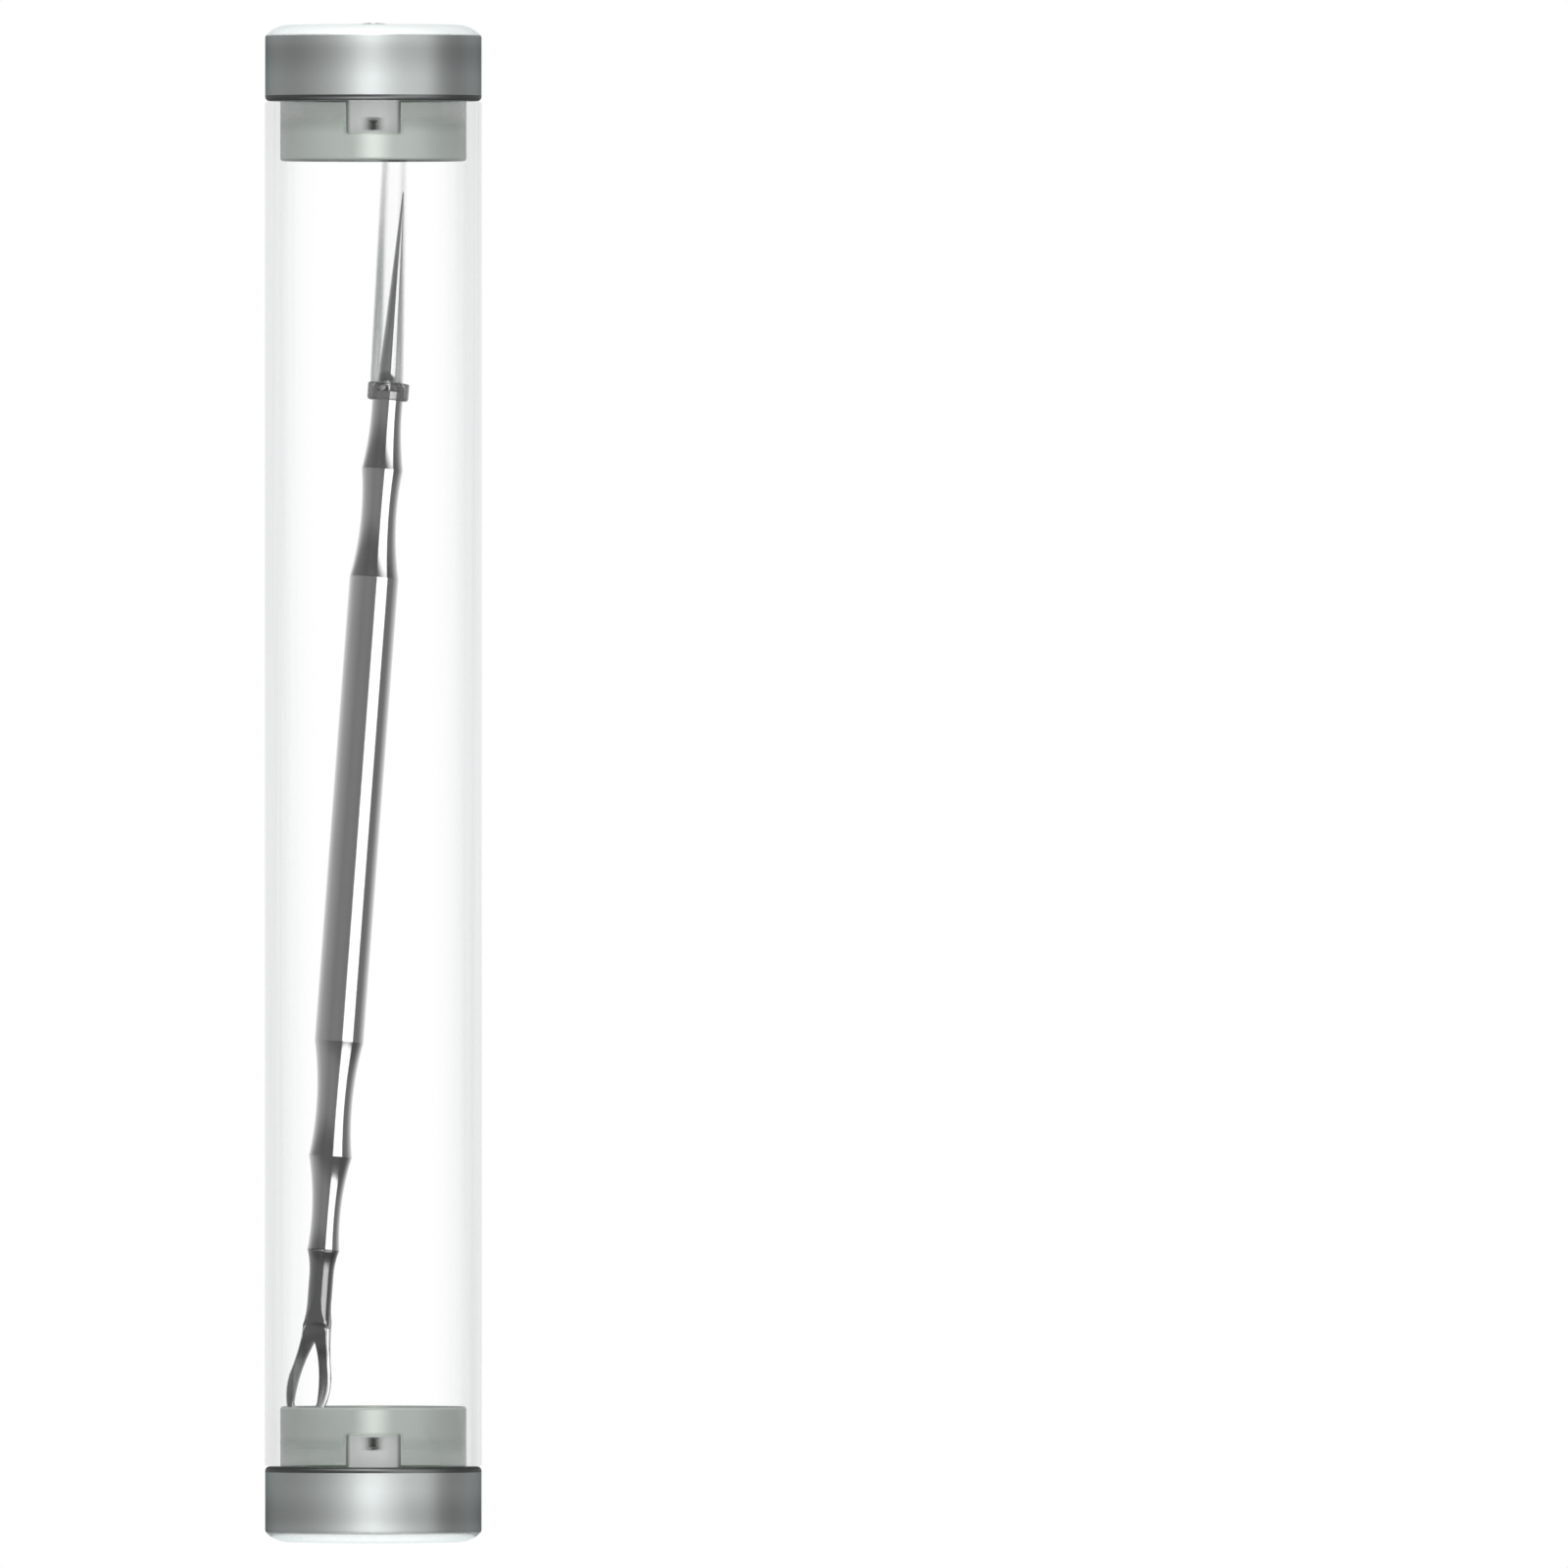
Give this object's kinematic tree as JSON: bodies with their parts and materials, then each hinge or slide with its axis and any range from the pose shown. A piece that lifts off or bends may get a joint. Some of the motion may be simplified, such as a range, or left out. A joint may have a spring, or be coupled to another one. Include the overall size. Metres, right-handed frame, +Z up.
{
  "type": "blackhead extractor in storage tube",
  "caption": "Slim steel skin extractor with a wire-like loop at one end and a sleeved needle at the other, lying in a clear round tube with push-in metal caps.",
  "frame": {"origin": "middle of the lower cap's flat outer face, where the standing tube rests", "axes": "+Z up along the tube's axis, towards the cap at the needle's end; -Y towards the viewer"},
  "size_m": [0.02, 0.02, 0.1397],
  "materials": {
    "clear_tube": "clear, polished",
    "cap_metal": "satin, lightly anodised",
    "insert_plastic": "moulded",
    "plug_plastic": "milky, see-through",
    "screw_steel": "dull plated",
    "handle_steel": "fine turned grain",
    "needle_steel": "mirror polished",
    "loop_steel": "satin ground",
    "sleeve_plastic": "clear, soft"
  },
  "bodies": {
    "case": {"case_tube": "clear_tube"},
    "top_cap": {"top_cap_shell": "cap_metal", "top_cap_insert": "insert_plastic", "top_cap_plug": "plug_plastic", "top_cap_screw": "screw_steel"},
    "bottom_cap": {"bottom_cap_shell": "cap_metal", "bottom_cap_insert": "insert_plastic", "bottom_cap_plug": "plug_plastic", "bottom_cap_screw": "screw_steel"},
    "tool": {"handle": "handle_steel", "needle": "needle_steel", "loop_head": "loop_steel"},
    "sleeve": {"needle_sleeve": "sleeve_plastic"}
  },
  "joints": [
    {"name": "top_cap_pull", "type": "slide", "parent": "case", "child": "top_cap", "axis": [0, 0, 1], "range_m": [0, 0.165]},
    {"name": "bottom_cap_pull", "type": "slide", "parent": "case", "child": "bottom_cap", "axis": [0, 0, -1], "range_m": [0, 0.03]},
    {"name": "tool_lift", "type": "slide", "parent": "case", "child": "tool", "axis": [0, 0, 1], "range_m": [0, 0.12375]},
    {"name": "sleeve_pull", "type": "slide", "parent": "tool", "child": "sleeve", "axis": [0.075, 0.0396, 0.9964], "range_m": [0, 0.0264]}
  ],
  "couplings": [
    {"joint": "tool_lift", "follows": "top_cap_pull", "ratio": 0.75},
    {"joint": "sleeve_pull", "follows": "top_cap_pull", "ratio": 0.16}
  ]
}
